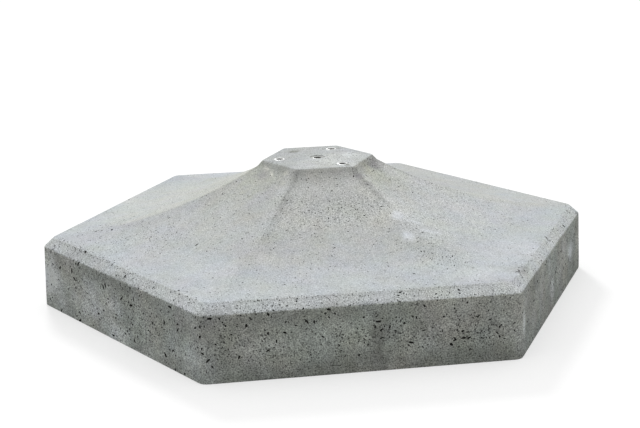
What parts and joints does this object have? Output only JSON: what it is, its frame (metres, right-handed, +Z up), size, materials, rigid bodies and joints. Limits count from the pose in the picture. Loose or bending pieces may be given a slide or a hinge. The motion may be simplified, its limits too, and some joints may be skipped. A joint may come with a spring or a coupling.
{
  "type": "flagpole foundation block",
  "caption": "Hexagonal precast concrete foundation block that sweeps up to a small flat top with cast-in threaded sockets for a flagpole's foot.",
  "frame": {"origin": "middle of the underside, on the ground", "axes": "+Z up the pole, +X towards a corner of the hexagon, opposite one bolt socket"},
  "size_m": [1.1486, 1, 0.28],
  "materials": {
    "concrete": "as cast, grey, pitted",
    "socket_steel": "zinc plated"
  },
  "bodies": {
    "root": {"concrete_block": "concrete", "bolt_socket_1": "socket_steel", "bolt_socket_2": "socket_steel", "bolt_socket_3": "socket_steel", "lifting_socket": "socket_steel"}
  },
  "joints": []
}
